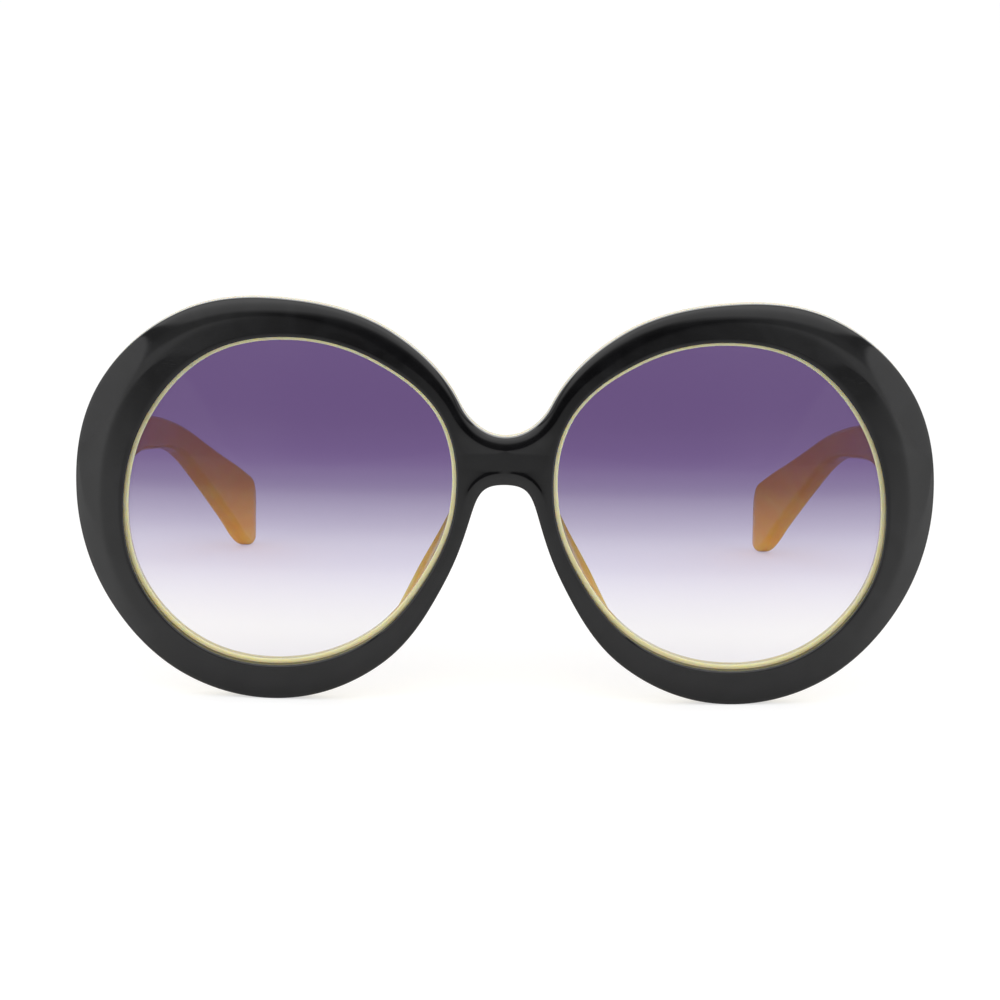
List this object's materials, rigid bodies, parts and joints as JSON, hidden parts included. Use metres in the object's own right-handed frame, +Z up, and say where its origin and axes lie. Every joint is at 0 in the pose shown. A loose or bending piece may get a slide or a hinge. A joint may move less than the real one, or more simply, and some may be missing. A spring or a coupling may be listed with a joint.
{
  "type": "sunglasses",
  "caption": "Oversized round sunglasses with a black laminated front, gradient-tinted lenses, glued nose pads and amber temples that fold on knuckle hinges.",
  "frame": {"origin": "middle of the footprint, on the table that the open glasses stand on", "axes": "+Z up, -Y towards what the lenses face, +Y towards the temple tips, +X to the wearer's left"},
  "size_m": [0.1482, 0.1494, 0.0698],
  "materials": {
    "black_acetate": "polished black acetate",
    "amber_acetate": "polished translucent pale amber acetate",
    "temple_acetate": "polished translucent honey amber acetate",
    "tinted_lens": "violet tint that fades to clear downwards",
    "hinge_metal": "gold-toned, satin",
    "screw_steel": "turned steel"
  },
  "bodies": {
    "front": {"front_face": "black_acetate", "front_backing": "amber_acetate", "left_lens": "tinted_lens", "right_lens": "tinted_lens", "left_nose_pad": "amber_acetate", "right_nose_pad": "amber_acetate", "left_end_block": "amber_acetate", "right_end_block": "amber_acetate", "left_front_leaf": "hinge_metal", "right_front_leaf": "hinge_metal", "left_front_leaf_screws": "screw_steel", "right_front_leaf_screws": "screw_steel", "left_hinge_screw": "screw_steel", "right_hinge_screw": "screw_steel"},
    "left_temple": {"left_temple": "temple_acetate", "left_temple_leaf": "hinge_metal", "left_temple_leaf_screws": "screw_steel"},
    "right_temple": {"right_temple": "temple_acetate", "right_temple_leaf": "hinge_metal", "right_temple_leaf_screws": "screw_steel"}
  },
  "joints": [
    {"name": "left_temple_fold", "type": "hinge", "parent": "front", "child": "left_temple", "pos_m": [0.06675, -0.05725, 0.0406], "axis": [0, 0, 1], "range_deg": [0, 85]},
    {"name": "right_temple_fold", "type": "hinge", "parent": "front", "child": "right_temple", "pos_m": [-0.06675, -0.05725, 0.0406], "axis": [0, 0, -1], "range_deg": [0, 80]}
  ]
}
